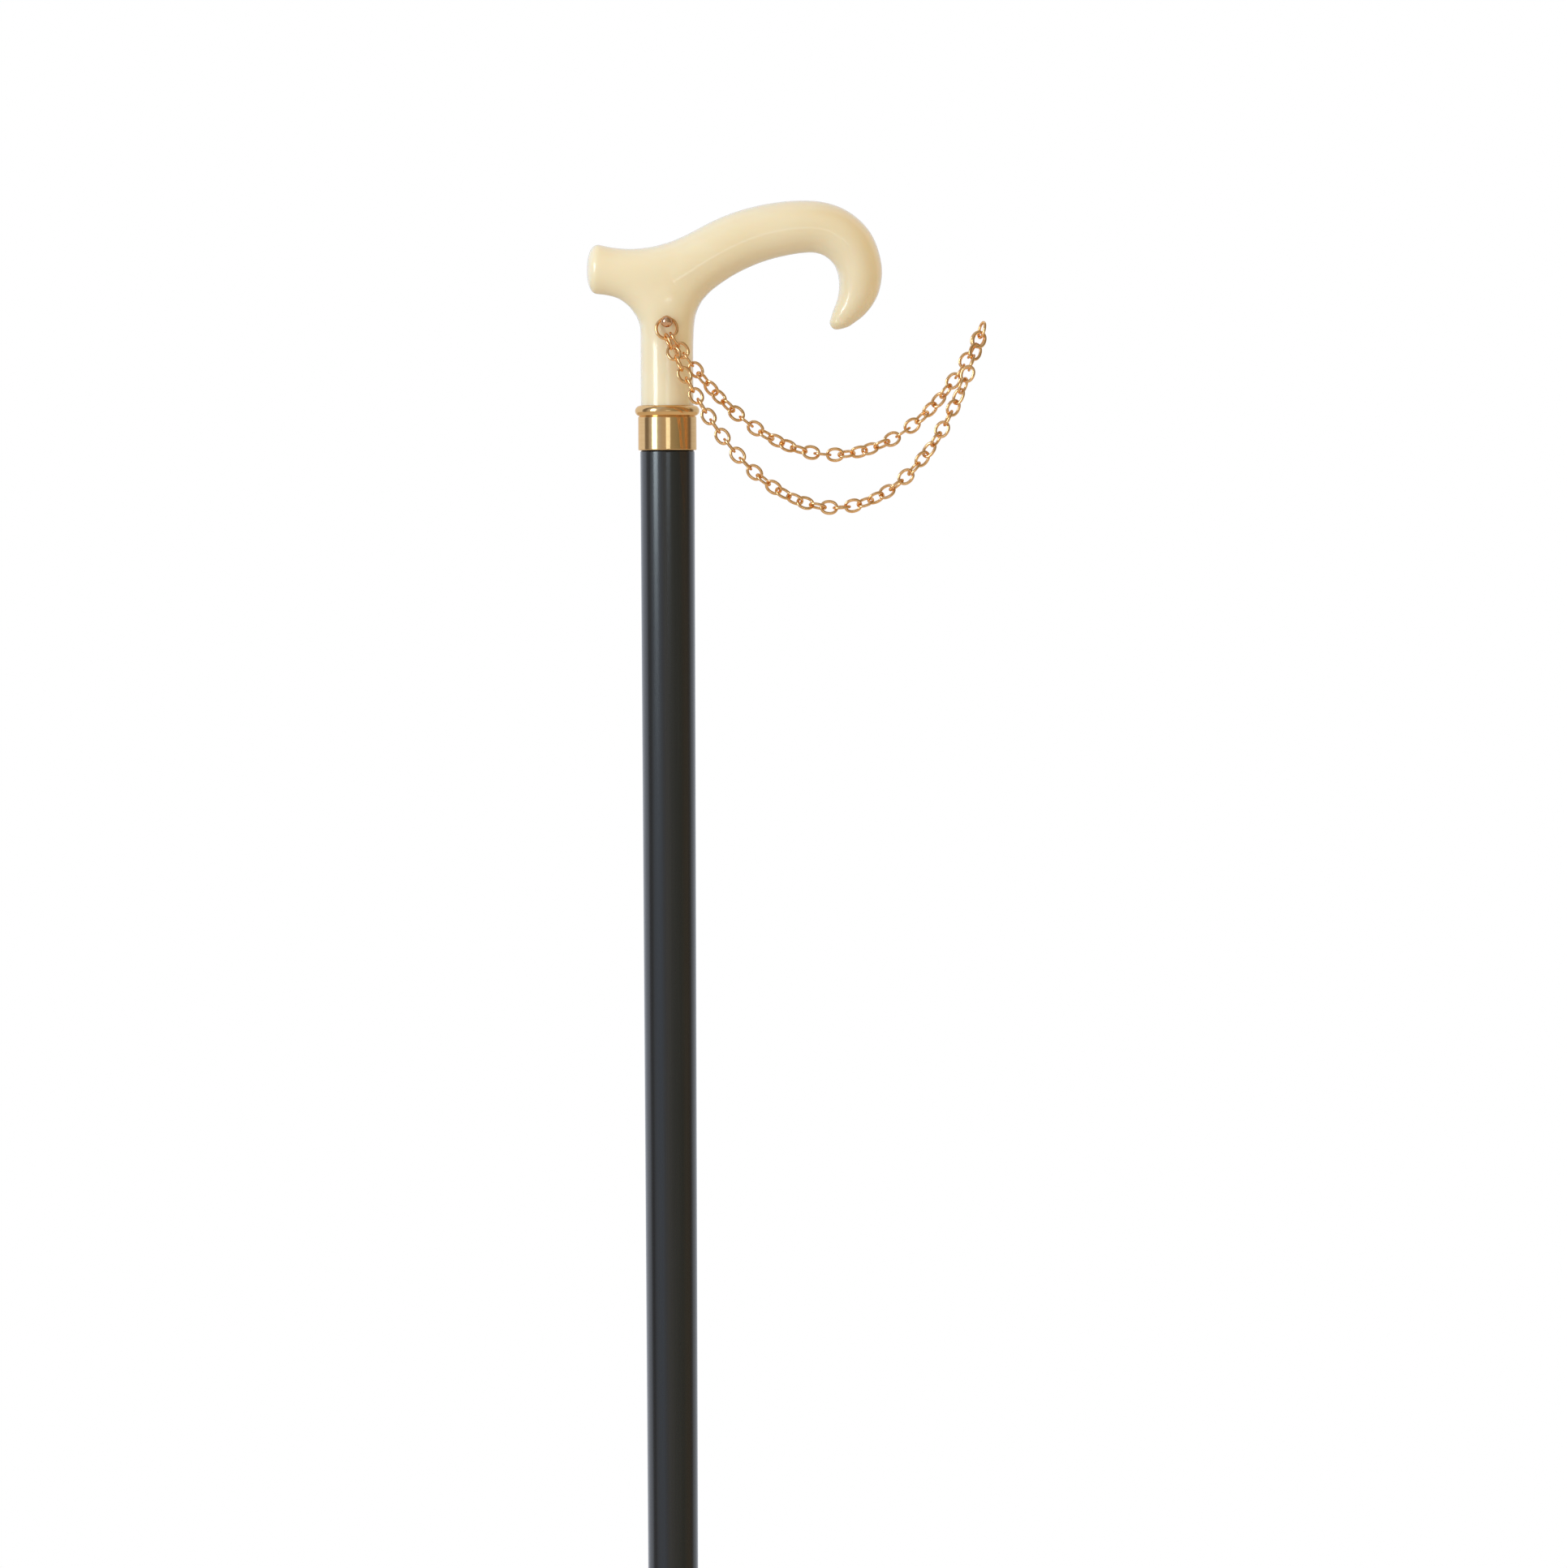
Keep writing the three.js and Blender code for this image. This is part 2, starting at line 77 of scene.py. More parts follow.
def arc(centreRadius, centreHeight, radius, startDegrees, endDegrees, steps):
    points = []
    for step in range(steps + 1):
        angle = math.radians(startDegrees + (endDegrees - startDegrees) * step / steps)
        points.append((centreRadius + radius * math.cos(angle), centreHeight + radius * math.sin(angle)))
    return points


def turned(outline, sides, closed=False):
    # Revolves (radius, height) points about the upright axis; a radius of zero becomes one pole
    corners, faces, rows = [], [], []
    for radius, height in outline:
        first = len(corners)
        if radius == 0:
            corners.append((0, 0, height))
            rows.append([first] * sides)
            continue
        for side in range(sides):
            turn = 2 * math.pi * side / sides
            corners.append((radius * math.cos(turn), radius * math.sin(turn), height))
        rows.append(list(range(first, first + sides)))
    pairs = list(zip(rows, rows[1:]))
    if closed:
        pairs.append((rows[-1], rows[0]))
    for low, high in pairs:
        for side in range(sides):
            after = (side + 1) % sides
            face = [low[side], low[after], high[after], high[side]]
            faces.append([corner for place, corner in enumerate(face) if corner not in face[:place]])
    return corners, faces


def swept(rings, closed):
    # Skins rings of equal count, end to end or round in a loop
    corners = [corner for ring in rings for corner in ring]
    around, faces = len(rings[0]), []
    last = len(rings) if closed else len(rings) - 1
    for row in range(last):
        near, far = row * around, (row + 1) % len(rings) * around
        for place in range(around):
            after = (place + 1) % around
            faces.append([near + place, near + after, far + after, far + place])
    if not closed:
        faces.append(list(reversed(range(around))))
        faces.append(list(range((len(rings) - 1) * around, len(rings) * around)))
    return corners, faces


# Materials

def startMaterial(name):
    material = bpy.data.materials.new(name)
    material.use_nodes = True
    nodes = material.node_tree.nodes
    return material, nodes, material.node_tree.links, nodes["Principled BSDF"]


def addNoise(nodes, links, stretch, scale, detail):
    place = nodes.new("ShaderNodeTexCoord")
    mapping = nodes.new("ShaderNodeMapping")
    mapping.inputs["Scale"].default_value = stretch
    noise = nodes.new("ShaderNodeTexNoise")
    noise.inputs["Scale"].default_value = scale
    noise.inputs["Detail"].default_value = detail
    links.new(place.outputs["Object"], mapping.inputs["Vector"])
    links.new(mapping.outputs["Vector"], noise.inputs["Vector"])
    return noise.outputs["Fac"]


def addRamp(nodes, links, source, stops):
    ramp = nodes.new("ShaderNodeValToRGB")
    for element, (place, colour) in zip(ramp.color_ramp.elements, (stops[0], stops[-1])):
        element.position, element.color = place, (*colour, 1)
    for place, colour in stops[1:-1]:
        ramp.color_ramp.elements.new(place).color = (*colour, 1)
    links.new(source, ramp.inputs["Fac"])
    return ramp.outputs["Color"]


def addRange(nodes, links, source, low, high):
    span = nodes.new("ShaderNodeMapRange")
    span.inputs["To Min"].default_value = low
    span.inputs["To Max"].default_value = high
    links.new(source, span.inputs["Value"])
    return span.outputs["Result"]


def addBump(nodes, links, shader, source, depth, strength):
    # Lies over any bump that the shader already has
    bump = nodes.new("ShaderNodeBump")
    if shader.inputs["Normal"].is_linked:
        links.new(shader.inputs["Normal"].links[0].from_socket, bump.inputs["Normal"])
    bump.inputs["Strength"].default_value = strength
    bump.inputs["Distance"].default_value = depth
    links.new(source, bump.inputs["Height"])
    links.new(bump.outputs["Normal"], shader.inputs["Normal"])


resinLook = {
    "pale": (0.875, 0.745, 0.52),
    "deep": (0.855, 0.715, 0.475),
    "roughness": (0.34, 0.42),
    "coat": 1,
    "polish": 0.11,
    "gloss": 0.3,
    "bend": 1.5,            # how strongly the resin refracts
    "wax": 0.35,            # share of the light that spreads under the skin, how far, and in what colour
    "waxDepth": 5 * mm,
    "waxColour": (1.0, 0.65, 0.4),
    "waviness": 0.02 * mm,
}


def makeResin():
    material, nodes, links, shader = startMaterial("ivoryResin")
    clouds = addNoise(nodes, links, (1, 1, 1), 45, 3)
    colour = addRamp(nodes, links, clouds, [(0.3, resinLook["pale"]), (0.7, resinLook["deep"])])
    links.new(colour, shader.inputs["Base Color"])
    links.new(addRange(nodes, links, clouds, *resinLook["roughness"]), shader.inputs["Roughness"])
    shader.inputs["Coat Weight"].default_value = resinLook["coat"]
    shader.inputs["Coat Roughness"].default_value = resinLook["polish"]
    shader.inputs["Specular IOR Level"].default_value = resinLook["gloss"]
    shader.inputs["Subsurface Weight"].default_value = resinLook["wax"]
    shader.inputs["Subsurface Radius"].default_value = resinLook["waxColour"]
    shader.inputs["Subsurface Scale"].default_value = resinLook["waxDepth"]
    shader.inputs["IOR"].default_value = resinLook["bend"]
    waves = addNoise(nodes, links, (1, 1, 1), 90, 1)
    addBump(nodes, links, shader, waves, resinLook["waviness"], 0.3)
    return material


metalLooks = {
    "brass": {"colour": (0.86, 0.56, 0.27), "tarnish": (0.8, 0.5, 0.22), "edge": (1, 0.9, 0.75),
              "roughness": (0.12, 0.18), "brushed": 0.6},
    "chainGold": {"colour": (1, 0.64, 0.32), "tarnish": (0.93, 0.52, 0.22), "edge": (0.62, 0.36, 0.2),
                  "roughness": (0.08, 0.16), "brushed": 0},
    "roseGold": {"colour": (0.82, 0.5, 0.31), "tarnish": (0.68, 0.39, 0.22), "edge": (0.35, 0.22, 0.16),
                 "roughness": (0.06, 0.12), "brushed": 0},
    "zincSteel": {"colour": (0.62, 0.63, 0.65), "tarnish": (0.5, 0.5, 0.5), "edge": (0.9, 0.9, 0.9),
                  "roughness": (0.25, 0.4), "brushed": 0},
}


def makeMetal(name, stretch, scale, scratchDepth):
    look = metalLooks[name]
    material, nodes, links, shader = startMaterial(name)
    wear = addNoise(nodes, links, stretch, scale, 4)
    links.new(addRamp(nodes, links, wear, [(0.35, look["colour"]), (0.75, look["tarnish"])]),
              shader.inputs["Base Color"])
    links.new(addRange(nodes, links, wear, *look["roughness"]), shader.inputs["Roughness"])
    shader.inputs["Metallic"].default_value = 1
    shader.inputs["Specular Tint"].default_value = (*look["edge"], 1)
    shader.inputs["Anisotropic"].default_value = look["brushed"]    # turned grooves run round the axis
    shader.inputs["Anisotropic Rotation"].default_value = 0.25
    addBump(nodes, links, shader, wear, scratchDepth, 0.25)
    return material


lacquerLook = {
    "black": (0.006, 0.0068, 0.008),
    "brown": (0.01, 0.0103, 0.0108),
    "roughness": (0.22, 0.32),
    "coat": 0.65,
    "polish": 0.15,
    "grainDepth": 0.03 * mm,
    "speckleDepth": 0.012 * mm,
}


def makeLacquer():
    material, nodes, links, shader = startMaterial("blackLacquer")
    grain = addNoise(nodes, links, (60, 60, 1), 12, 6)
    links.new(addRamp(nodes, links, grain, [(0.3, lacquerLook["black"]), (0.8, lacquerLook["brown"])]),
              shader.inputs["Base Color"])
    links.new(addRange(nodes, links, grain, *lacquerLook["roughness"]), shader.inputs["Roughness"])
    shader.inputs["Coat Weight"].default_value = lacquerLook["coat"]
    shader.inputs["Coat Roughness"].default_value = lacquerLook["polish"]
    addBump(nodes, links, shader, grain, lacquerLook["grainDepth"], 0.4)
    speckle = addNoise(nodes, links, (1, 1, 0.5), 1500, 2)
    addBump(nodes, links, shader, speckle, lacquerLook["speckleDepth"], 0.5)
    return material


rubberLook = {
    "dark": (0.012, 0.012, 0.013),
    "dusty": (0.03, 0.029, 0.028),
    "roughness": (0.6, 0.85),
    "grainDepth": 0.05 * mm,
}


def makeRubber():
    material, nodes, links, shader = startMaterial("mouldedRubber")
    dust = addNoise(nodes, links, (1, 1, 1), 700, 5)
    links.new(addRamp(nodes, links, dust, [(0.35, rubberLook["dark"]), (0.8, rubberLook["dusty"])]),
              shader.inputs["Base Color"])
    links.new(addRange(nodes, links, dust, *rubberLook["roughness"]), shader.inputs["Roughness"])
    addBump(nodes, links, shader, dust, rubberLook["grainDepth"], 0.5)
    return material


resin = makeResin()
brass = makeMetal("brass", (1, 1, 60), 90, 0.004 * mm)
chainGold = makeMetal("chainGold", (1, 1, 1), 900, 0.01 * mm)
roseGold = makeMetal("roseGold", (1, 1, 1), 700, 0.005 * mm)
zincSteel = makeMetal("zincSteel", (1, 1, 1), 900, 0.01 * mm)
lacquer = makeLacquer()
rubber = makeRubber()
print("materials ready")


# Handle: ovals drawn through an upper point, the flanks and a lower point. Stub, arm and neck meet
# in shared half ovals. Each share is upper x, upper z, lower x, lower z, half width.

handle = {
    "reach": 75.3,
    "rise": 71.4,
    "palm": 11,
    "neck": 9.2,
    "insert": 7,
    "quarter": 8,
    "steps": 3,
    "stubBulge": 4.05,
    "stubRound": 0.85,
    "noseBulge": 3.4,
    "noseRound": 1.3,
    "domeSteps": 9,
    "armBlend": 20,         # rings of the arm that the crotch's swelling reaches
    "skinRounds": 400,
    "skinLimit": 12,        # the swelling levels off at this height
    "skinHardness": 6,
    "swell": 1.0065,
    "crotch": {"top": (0.028, 0.804), "left": (-0.17, 0.48), "right": (0.165, 0.512),
               "centre": (0.01, 0.61), "width": 0.955},
    "stub": [
        (-0.315, 0.789, -0.318, 0.546, 0.78),
        (-0.25, 0.774, -0.28, 0.541, 0.79),
        (-0.163, 0.767, -0.233, 0.528, 0.83),
        (-0.066, 0.777, -0.199, 0.507, 0.9),
    ],
    "arm": [
        (0.111, 0.844, 0.215, 0.567, 0.97),
        (0.21, 0.899, 0.313, 0.637, 0.99),
        (0.31, 0.942, 0.413, 0.687, 1),
        (0.414, 0.973, 0.493, 0.715, 1),
        (0.517, 0.992, 0.565, 0.732, 1),
        (0.618, 1, 0.627, 0.742, 1),
        (0.718, 0.994, 0.684, 0.744, 0.99),
        (0.817, 0.962, 0.731, 0.729, 0.97),
        (0.904, 0.897, 0.767, 0.698, 0.95),
        (0.965, 0.809, 0.788, 0.661, 0.91),
        (1, 0.68, 0.8, 0.608, 0.85),
        (0.992, 0.573, 0.799, 0.555, 0.76),
        (0.963, 0.498, 0.788, 0.503, 0.66),
        (0.915, 0.435, 0.769, 0.453, 0.54),
        (0.86, 0.392, 0.759, 0.416, 0.41),
    ],
    "neckPart": [
        (1.174, 0.468, -1.157, 0.436, 1.08),
        (1.049, 0.406, -1.007, 0.378, 1.025),
        (1, 0.28, -1, 0.28, 1),
        (1, 0.1, -1, 0.1, 1),
    ],
}


def ovalFrom(share, across, width):
    return [share[0] * across, share[1] * handle["rise"], share[2] * across, share[3] * handle["rise"],
            share[4] * width]


def smoothOvals(stations):
    # Catmull-Rom through the stations, all five numbers of an oval at once
    padded = [[2 * a - b for a, b in zip(stations[0], stations[1])], *stations,
              [2 * a - b for a, b in zip(stations[-1], stations[-2])]]
    ovals = []
    for place in range(len(stations) - 1):
        for step in range(handle["steps"]):
            t = step / handle["steps"]
            ovals.append([0.5 * (2 * b + (c - a) * t + (2 * a - 5 * b + 4 * c - d) * t * t
                                 + (3 * b - a - 3 * c + d) * t ** 3)
                          for a, b, c, d in zip(*padded[place:place + 4])])
    return ovals + [list(stations[-1])]


def easeIn(share):
    share = min(max(share, 0), 1)
    return share * share * (3 - 2 * share)


def ovalRing(oval, pull, crotchCentre):
    upper = Vector((oval[0], 0, oval[1]))
    lower = Vector((oval[2], 0, oval[3]))
    centre = (upper + lower) / 2
    centre = centre.lerp(crotchCentre, pull)
    ring, swell = [], handle["swell"]       # the subdivision draws a ring in by as much
    for place in range(4 * handle["quarter"]):
        angle = math.pi * place / (2 * handle["quarter"])
        up, down = swell * max(math.cos(angle), 0), swell * max(-math.cos(angle), 0)
        point = centre + (upper - centre) * up + (lower - centre) * down
        ring.append(point - Vector((0, swell * math.sin(angle) * oval[4], 0)))
    return ring, centre


def skinHeights(strips):
    # Height of a thin skin blown up between the outlines, solved on the strips' own points with
    # conjugate gradients: half an ellipse across a straight strip, and smooth where strips meet
    known, points, rim, grids, triangles = {}, [], set(), [], []
    half = 2 * handle["quarter"]
    for rings in strips:
        grid = []
        for loop in rings:
            row = []
            for corner in loop[:half + 1]:
                key = (round(corner.x, 3), round(corner.z, 3))
                if key not in known:
                    known[key] = len(points)
                    points.append((corner.x, corner.z))
                row.append(known[key])
            rim.update((row[0], row[-1]))
            grid.append(row)
        for near, far in zip(grid, grid[1:]):
            for place in range(half):
                a, b, c, d = near[place], near[place + 1], far[place + 1], far[place]
                triangles += [(a, b, c), (a, c, d)]
        grids.append(grid)

    pull = [{} for _ in points]
    load = [0.0] * len(points)
    for triangle in triangles:
        for turn in range(3):
            a, b, c = (triangle[(turn + step) % 3] for step in range(3))
            ux, uz = points[b][0] - points[a][0], points[b][1] - points[a][1]
            vx, vz = points[c][0] - points[a][0], points[c][1] - points[a][1]
            area = abs(ux * vz - uz * vx)
            if area < 1e-9:
                continue
            stiff = (ux * vx + uz * vz) / area / 2
            load[a] += area / 3
            for one, other in ((b, c), (c, b)):
                pull[one][one] = pull[one].get(one, 0) + stiff
                pull[one][other] = pull[one].get(other, 0) - stiff
    free = [place for place in range(len(points)) if place not in rim and pull[place].get(place, 0) > 0]
    isFree = set(free)
    rows = {place: [(other, value) for other, value in pull[place].items() if other in isFree]
            for place in free}
    lift = [0.0] * len(points)
    rest = {place: load[place] for place in free}
    step = {place: rest[place] / pull[place][place] for place in free}
    size = sum(rest[place] * step[place] for place in free)
    for _ in range(handle["skinRounds"]):
        pushed = {place: sum(value * step[other] for other, value in rows[place]) for place in free}
        length = size / sum(step[place] * pushed[place] for place in free)
        for place in free:
            lift[place] += length * step[place]
            rest[place] -= length * pushed[place]
        eased = {place: rest[place] / pull[place][place] for place in free}
        after = sum(rest[place] * eased[place] for place in free)
        if after < 1e-12 * size or after < 1e-14:
            break
        step = {place: eased[place] + after / size * step[place] for place in free}
        size = after
    limit, hardness = handle["skinLimit"], handle["skinHardness"]

    def heightOf(place):
        full = math.sqrt(max(lift[place], 0))
        return full / (1 + (full / limit) ** hardness) ** (1 / hardness)

    return [[[heightOf(place) for place in row] for row in grid] for grid in grids]


def domeOver(ring, centre, outward, bulge, roundShare):
    rings = []
    for step in range(1, handle["domeSteps"]):
        angle = math.pi / 2 * step / handle["domeSteps"]
        spread, reach = math.cos(angle) ** roundShare, math.sin(angle) ** roundShare
        rings.append([centre + (point - centre) * spread + outward * bulge * reach for point in ring])
    return rings, centre + outward * bulge


def buildHandle():
    reach, rise, palm, neck = handle["reach"], handle["rise"], handle["palm"], handle["neck"]
    crotch = handle["crotch"]
    crotchCentre = Vector((crotch["centre"][0] * reach, 0, crotch["centre"][1] * rise))

    def crotchOval(upper, lower):
        return ovalFrom((*crotch[upper], *crotch[lower], crotch["width"]), reach, palm)

    def branchOvals(part, across, width):
        return [ovalFrom(share, across, width) for share in handle[part]]

    stub = smoothOvals(branchOvals("stub", reach, palm) + [crotchOval("top", "left")])
    arm = smoothOvals([crotchOval("top", "right")] + branchOvals("arm", reach, palm))
    neckPart = smoothOvals([crotchOval("right", "left")] + branchOvals("neckPart", neck, neck))
    for depth in (0, 0.5, 0.95, 1):
        level = -handle["insert"] * depth
        neckPart.append([neck, level, -neck, level, neck])

    def rings(ovals, pulls):
        made = [ovalRing(oval, pull, crotchCentre) for oval, pull in zip(ovals, pulls)]
        return [ring for ring, _ in made], [centre for _, centre in made]

    last = len(stub) - 1
    stubPulls = [easeIn((place / last - 0.25) / 0.75) for place in range(last + 1)]
    stubRings, stubCentres = rings(stub, stubPulls)
    last = len(arm) - 1
    armRings, armCentres = rings(arm, [easeIn(1 - 4 * place / last) for place in range(last + 1)])
    last = len(neckPart) - 1
    neckRings, _ = rings(neckPart, [easeIn(1 - 1.3 * place / last) for place in range(last + 1)])

    # Flanks near the crotch follow the blown skin, drawn to the width that each branch has
    middle = handle["quarter"]
    strips = [list(reversed(stubRings)), armRings[:handle["armBlend"] + 1], neckRings[:-4]]
    skins = skinHeights(strips)
    crotchRatio = crotch["width"] * palm / skins[0][0][middle]
    for strip, skin in zip(strips, skins):
        outer = len(strip) - 1
        outerRatio = -strip[outer][middle].y / skin[outer][middle]
        for step, (loop, heights) in enumerate(zip(strip, skin)):
            ratio = crotchRatio + (outerRatio - crotchRatio) * easeIn(step / outer)
            keep = easeIn(2 * step / outer - 1)
            for place in range(1, 2 * middle):
                depth = (1 - keep) * ratio * heights[place] - keep * loop[place].y
                loop[place].y = -depth
                loop[4 * middle - place].y = depth

    stubDome, stubTip = domeOver(stubRings[0], stubCentres[0], Vector((-1, 0, 0)),
                                 handle["stubBulge"], handle["stubRound"])
    noseAlong = (armCentres[-1] - armCentres[-1 - handle["steps"]]).normalized()
    noseDome, noseTip = domeOver(armRings[-1], armCentres[-1], noseAlong,
                                 handle["noseBulge"], handle["noseRound"])
    branches = [
        (list(reversed(stubDome)) + stubRings, stubTip, None),
        (armRings + noseDome, None, noseTip),
        (neckRings, None, Vector((0, 0, -handle["insert"]))),
    ]
    corners, faces, known = [], [], {}

    def cornerAt(point):
        key = tuple(round(value, 3) for value in point)
        if key not in known:
            known[key] = len(corners)
            corners.append(point)
        return known[key]

    for loops, startTip, endTip in branches:
        rows = [[cornerAt(point) for point in loop] for loop in loops]
        around = len(rows[0])
        for near, far in zip(rows, rows[1:]):
            for place in range(around):
                after = (place + 1) % around
                faces.append([near[place], near[after], far[after], far[place]])
        for tip, row, flip in ((startTip, rows[0], True), (endTip, rows[-1], False)):
            if tip is None:
                continue
            pole = cornerAt(tip)
            for place in range(around):
                edge = [row[place], row[(place + 1) % around]]
                faces.append([pole, *edge] if not flip else [pole, *reversed(edge)])

    lifted = [(corner.x, corner.y, corner.z + headHeight) for corner in corners]
    piece = addMesh("handleShell", lifted, faces, resin)
    addSubdivision(piece, 1)
    seatPiece(piece, "cane", "resin", "handle")
    return piece


buildHandle()
print("handle built")


# Collar, shaft and ferrule, turned

collar = {
    "length": 15.65,
    "bore": 9.35,
    "band": 10.2,
    "bead": 11.25,
    "beadHeight": 3.8,
    "groove": 0.35,
    "edge": 0.3,
    "sides": 128,
}


def buildCollar():
    edge, band, groove = collar["edge"], collar["band"], collar["groove"]
    half = collar["beadHeight"] / 2
    bandTop = collar["length"] - collar["beadHeight"]
    outline = [(collar["bore"], 0), (band - edge, 0), *arc(band - edge, edge, edge, -80, 0, 4),
               (band, edge + 0.1), (band, bandTop - groove * 1.5), (band, bandTop - groove * 1.2),
               (band - groove * 0.3, bandTop - groove * 0.5),
               (band - groove, bandTop - groove * 0.2), (band - groove, bandTop + groove * 0.1),
               *arc(collar["bead"] - half, bandTop + half, half, -75, 90, 20),
               (collar["bore"] + edge, collar["length"]), (collar["bore"], collar["length"] - edge)]
    base = collarLow.z / mm
    raised = [(radius, height + base) for radius, height in outline]
    piece = addMesh("collarShell", *turned(raised, collar["sides"], True), brass)
    seatPiece(piece, "cane", "collar_brass", "collar")


shaft = {"top": 9.5, "tip": 7.85, "spigot": 9.2, "edge": 0.4, "sides": 96}


def buildShaft():
    low, high, shoulder = shaftLow.z / mm, shaftHigh.z / mm, collarLow.z / mm - 0.3
    edge, top = shaft["edge"], shaft["top"]
    # Close pairs of rings keep the edge's shading off the long wall
    outline = [(0, low), (shaft["tip"] - edge, low),
               *arc(shaft["tip"] - edge, low + edge, edge, -80, 0, 4),
               (shaft["tip"], low + edge + 0.2), (top, shoulder - edge - 0.2),
               *arc(top - edge, shoulder - edge, edge, 0, 90, 4),
               (shaft["spigot"], shoulder), (shaft["spigot"], high), (0, high)]
    piece = addMesh("shaftRod", *turned(outline, shaft["sides"]), lacquer)
    seatPiece(piece, "cane", "lacquered_wood", "shaft")


ferrule = {
    "height": 32,
    "floor": 9,
    "foot": 12,
    "mouth": 10,
    "bore": 8,
    "footBand": 8,
    "ringHeight": 1.6,
    "ringDepth": 0.7,
    "ringPitch": 6,
    "rings": 2,
    "treadDepth": 1,
    "pad": 4.6,
    "grooveWidth": 1.6,
    "edge": 0.6,
    "sides": 96,
}


def buildFerrule():
    edge = ferrule["edge"]
    taper = (ferrule["foot"] - edge - ferrule["mouth"]) / (ferrule["height"] - ferrule["footBand"])

    def wall(height):
        return ferrule["foot"] - edge - taper * (height - ferrule["footBand"])

    outline = [(0, 0), (ferrule["pad"], 0), (ferrule["pad"] + 0.1, ferrule["treadDepth"]),
               (ferrule["pad"] + ferrule["grooveWidth"], ferrule["treadDepth"]),
               (ferrule["pad"] + ferrule["grooveWidth"] + 0.1, 0), (ferrule["foot"] - edge, 0),
               *arc(ferrule["foot"] - edge, edge, edge, -75, 0, 4),
               *arc(ferrule["foot"] - edge, ferrule["footBand"] - edge, edge, 0, 75, 4),
               (wall(ferrule["footBand"] + 0.2), ferrule["footBand"] + 0.2)]
    for ring in range(ferrule["rings"]):
        low = ferrule["footBand"] + ferrule["ringPitch"] * (ring + 1)
        high = low + ferrule["ringHeight"]
        deep = wall((low + high) / 2) - ferrule["ringDepth"]
        outline += [(wall(low - 0.2), low - 0.2), (wall(low) - 0.1, low), (deep, low + 0.4),
                    (deep, high - 0.4), (wall(high) - 0.1, high), (wall(high + 0.2), high + 0.2)]
    outline += [*arc(ferrule["mouth"] - edge, ferrule["height"] - edge, edge, 5, 90, 4),
                (ferrule["bore"], ferrule["height"]), (ferrule["bore"], ferrule["floor"]),
                (0, ferrule["floor"])]
    piece = addMesh("ferruleShell", *turned(outline, ferrule["sides"]), rubber)
    seatPiece(piece, "cane", "rubber", "ferrule")


buildCollar()
buildShaft()
buildFerrule()
for hidden in ("joining_stud", "ferrule_washer"):
    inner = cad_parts[hidden]
    inner.data.materials.clear()
    inner.data.materials.append(zincSteel)
print("collar, shaft and ferrule built")


# Ball stud and jump ring

stud = {"height": 29.15, "ball": 2.03, "stem": 0.45, "standoff": 4, "inNeck": 4.5, "sides": 48}
ring = {"radius": 3.65, "wire": 1.1, "standoff": 2.95, "leanDegrees": 11.4, "seam": 0.12, "hang": 0.15,
        "steps": 96, "sides": 20}


def buildStud():
    out = handle["neck"] + stud["standoff"]
    start = math.degrees(math.asin(math.sqrt(1 - (stud["stem"] / stud["ball"]) ** 2)))
    outline = [(0, handle["neck"] - stud["inNeck"]), (stud["stem"], handle["neck"] - stud["inNeck"]),
               *arc(0, out, stud["ball"], -start, 85, 24), (0, out + stud["ball"])]
    corners, faces = turned(outline, stud["sides"])
    height = headHeight + stud["height"]
    piece = addMesh("studBall", [(x, -z, y + height) for x, y, z in corners], faces, roseGold)
    seatPiece(piece, "cane", "gold", "ball_stud")


ringLean = math.radians(ring["leanDegrees"])
ringInner = ring["radius"] - ring["wire"] / 2
hookDepth = handle["neck"] + ring["standoff"]
ringCentre = Vector((
    0,
    -hookDepth + ring["radius"] * math.sin(ringLean),
    stud["height"] - (ringInner * math.cos(ringLean) - stud["stem"] - ring["hang"]),
))


def buildRing():
    # Open at the seam, behind the ball
    seam = ring["seam"] / ring["radius"]
    lean = Matrix.Rotation(-ringLean, 3, "X")
    rings = []
    for step in range(ring["steps"] + 1):
        turn = math.pi / 2 + seam / 2 + (2 * math.pi - seam) * step / ring["steps"]
        outward = Vector((math.cos(turn), 0, math.sin(turn)))
        loop = []
        for side in range(ring["sides"]):
            angle = 2 * math.pi * side / ring["sides"]
            point = outward * (ring["radius"] + ring["wire"] / 2 * math.cos(angle))
            point += Vector((0, ring["wire"] / 2 * math.sin(angle), 0))
            placed = lean @ point + ringCentre
            loop.append((placed.x, placed.y, placed.z + headHeight))
        rings.append(loop)
    piece = addMesh("ringWire", *swept(rings, False), chainGold)
    seatPiece(piece, "ring", "gold", "jump_ring")


buildStud()
buildRing()
print("stud and jump ring built")


# Wrist loop: two strands that hang as catenaries from the jump ring to the far hook

